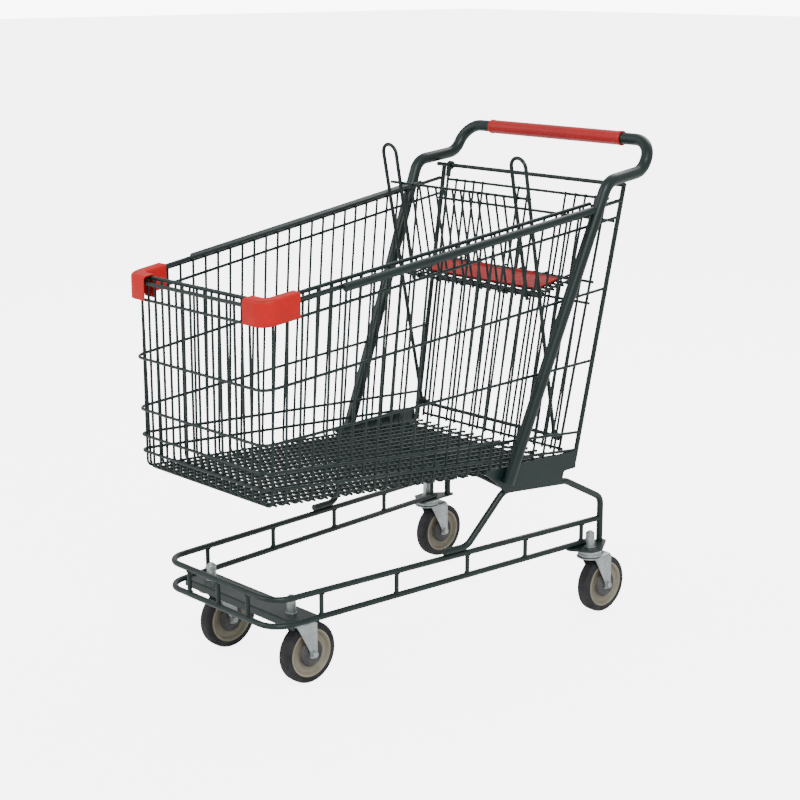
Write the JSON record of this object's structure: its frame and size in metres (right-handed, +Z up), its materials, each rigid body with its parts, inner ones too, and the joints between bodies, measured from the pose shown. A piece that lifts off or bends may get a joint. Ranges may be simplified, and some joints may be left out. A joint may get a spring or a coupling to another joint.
{
  "type": "nesting shopping trolley",
  "caption": "Wire shopping trolley that nests into others: swing-up rear gate, fold-away child seat with flap, bar chassis and swivel castors.",
  "frame": {"origin": "on the floor, under the middle of the trolley's outer box", "axes": "+X towards the front (the way the trolley is pushed), +Y to the trolley's left, +Z up"},
  "size_m": [1.0035, 0.586, 1.0268],
  "materials": {
    "green_coat": "dark green powder coat, satin",
    "bumper_red": "moulded red plastic, fine texture",
    "sleeve_red": "smooth red plastic sleeve",
    "flap_red": "moulded red plastic",
    "tyre": "dark grey elastic rubber",
    "wheel_centre": "beige-grey moulded nylon",
    "thread_guard": "dark moulded plastic",
    "zinc_plate": "zinc plated, passivated",
    "bright_steel": "ground bearing steel"
  },
  "bodies": {
    "frame": {"base_plate_left": "green_coat", "base_plate_right": "green_coat", "basket_hoops": "green_coat", "bumper_left": "bumper_red", "bumper_right": "bumper_red", "castor_balls": "bright_steel", "castor_king_bolts": "zinc_plate", "castor_races": "zinc_plate", "cross_brace": "green_coat", "floor_cross_wires": "green_coat", "front_and_floor_wires": "green_coat", "front_castor_channel": "green_coat", "gate_hinge_rod": "green_coat", "handle_sleeve": "sleeve_red", "handle_tube": "green_coat", "lower_rail": "green_coat", "rail_posts": "green_coat", "rear_castor_plates": "green_coat", "rear_legs": "green_coat", "rear_posts": "green_coat", "rim_inner_rod": "green_coat", "rim_outer_rod": "green_coat", "side_and_floor_wires": "green_coat", "side_tubes": "green_coat", "upper_rail": "green_coat"},
    "front_left_swivel": {"front_left_fork": "zinc_plate", "front_left_axle_bolt": "zinc_plate"},
    "front_left_wheel": {"front_left_tyre": "tyre", "front_left_wheel_centre": "wheel_centre", "front_left_wheel_bush": "bright_steel", "front_left_thread_guards": "thread_guard"},
    "front_right_swivel": {"front_right_fork": "zinc_plate", "front_right_axle_bolt": "zinc_plate"},
    "front_right_wheel": {"front_right_tyre": "tyre", "front_right_wheel_centre": "wheel_centre", "front_right_wheel_bush": "bright_steel", "front_right_thread_guards": "thread_guard"},
    "rear_left_swivel": {"rear_left_fork": "zinc_plate", "rear_left_axle_bolt": "zinc_plate"},
    "rear_left_wheel": {"rear_left_tyre": "tyre", "rear_left_wheel_centre": "wheel_centre", "rear_left_wheel_bush": "bright_steel", "rear_left_thread_guards": "thread_guard"},
    "rear_right_swivel": {"rear_right_fork": "zinc_plate", "rear_right_axle_bolt": "zinc_plate"},
    "rear_right_wheel": {"rear_right_tyre": "tyre", "rear_right_wheel_centre": "wheel_centre", "rear_right_wheel_bush": "bright_steel", "rear_right_thread_guards": "thread_guard"},
    "gate": {"gate_hangers": "green_coat", "gate_cross_wires": "green_coat", "gate_upright_wires": "green_coat", "gate_lower_rod": "green_coat"},
    "seat_back": {"ear_loop_left": "green_coat", "ear_loop_right": "green_coat", "seat_back_cross_wires": "green_coat", "seat_back_wires": "green_coat"},
    "seat": {"seat_tines": "green_coat", "seat_cross_wires": "green_coat"},
    "flap": {"seat_flap": "flap_red"}
  },
  "joints": [
    {"name": "front_left_swivel_turn", "type": "hinge", "parent": "frame", "child": "front_left_swivel", "pos_m": [0.375, 0.128, 0.14], "axis": [0, 0, 1], "continuous": true},
    {"name": "front_left_wheel_spin", "type": "hinge", "parent": "front_left_swivel", "child": "front_left_wheel", "pos_m": [0.337, 0.128, 0.0625], "axis": [0, 1, 0], "continuous": true},
    {"name": "front_right_swivel_turn", "type": "hinge", "parent": "frame", "child": "front_right_swivel", "pos_m": [0.375, -0.128, 0.14], "axis": [0, 0, 1], "continuous": true},
    {"name": "front_right_wheel_spin", "type": "hinge", "parent": "front_right_swivel", "child": "front_right_wheel", "pos_m": [0.337, -0.128, 0.0625], "axis": [0, 1, 0], "continuous": true},
    {"name": "rear_left_swivel_turn", "type": "hinge", "parent": "frame", "child": "rear_left_swivel", "pos_m": [-0.348, 0.254, 0.14], "axis": [0, 0, 1], "continuous": true},
    {"name": "rear_left_wheel_spin", "type": "hinge", "parent": "rear_left_swivel", "child": "rear_left_wheel", "pos_m": [-0.386, 0.254, 0.0625], "axis": [0, 1, 0], "continuous": true},
    {"name": "rear_right_swivel_turn", "type": "hinge", "parent": "frame", "child": "rear_right_swivel", "pos_m": [-0.348, -0.254, 0.14], "axis": [0, 0, 1], "continuous": true},
    {"name": "rear_right_wheel_spin", "type": "hinge", "parent": "rear_right_swivel", "child": "rear_right_wheel", "pos_m": [-0.386, -0.254, 0.0625], "axis": [0, 1, 0], "continuous": true},
    {"name": "gate_swing", "type": "hinge", "parent": "frame", "child": "gate", "pos_m": [-0.401, 0, 0.927], "axis": [0, -1, 0], "range_deg": [0, 78]},
    {"name": "seat_back_fold", "type": "hinge", "parent": "gate", "child": "seat_back", "pos_m": [-0.29188, 0, 0.39803], "axis": [0, -1, 0], "range_deg": [0, 16]},
    {"name": "seat_fold", "type": "hinge", "parent": "seat_back", "child": "seat", "pos_m": [-0.23209, 0, 0.70425], "axis": [0, 1, 0], "range_deg": [0, 77]},
    {"name": "flap_turn", "type": "hinge", "parent": "seat", "child": "flap", "pos_m": [-0.33353, 0, 0.72758], "axis": [0, 1, 0], "range_deg": [-105, 0]}
  ],
  "couplings": [
    {"joint": "seat_fold", "follows": "seat_back_fold", "ratio": 4.8125}
  ]
}
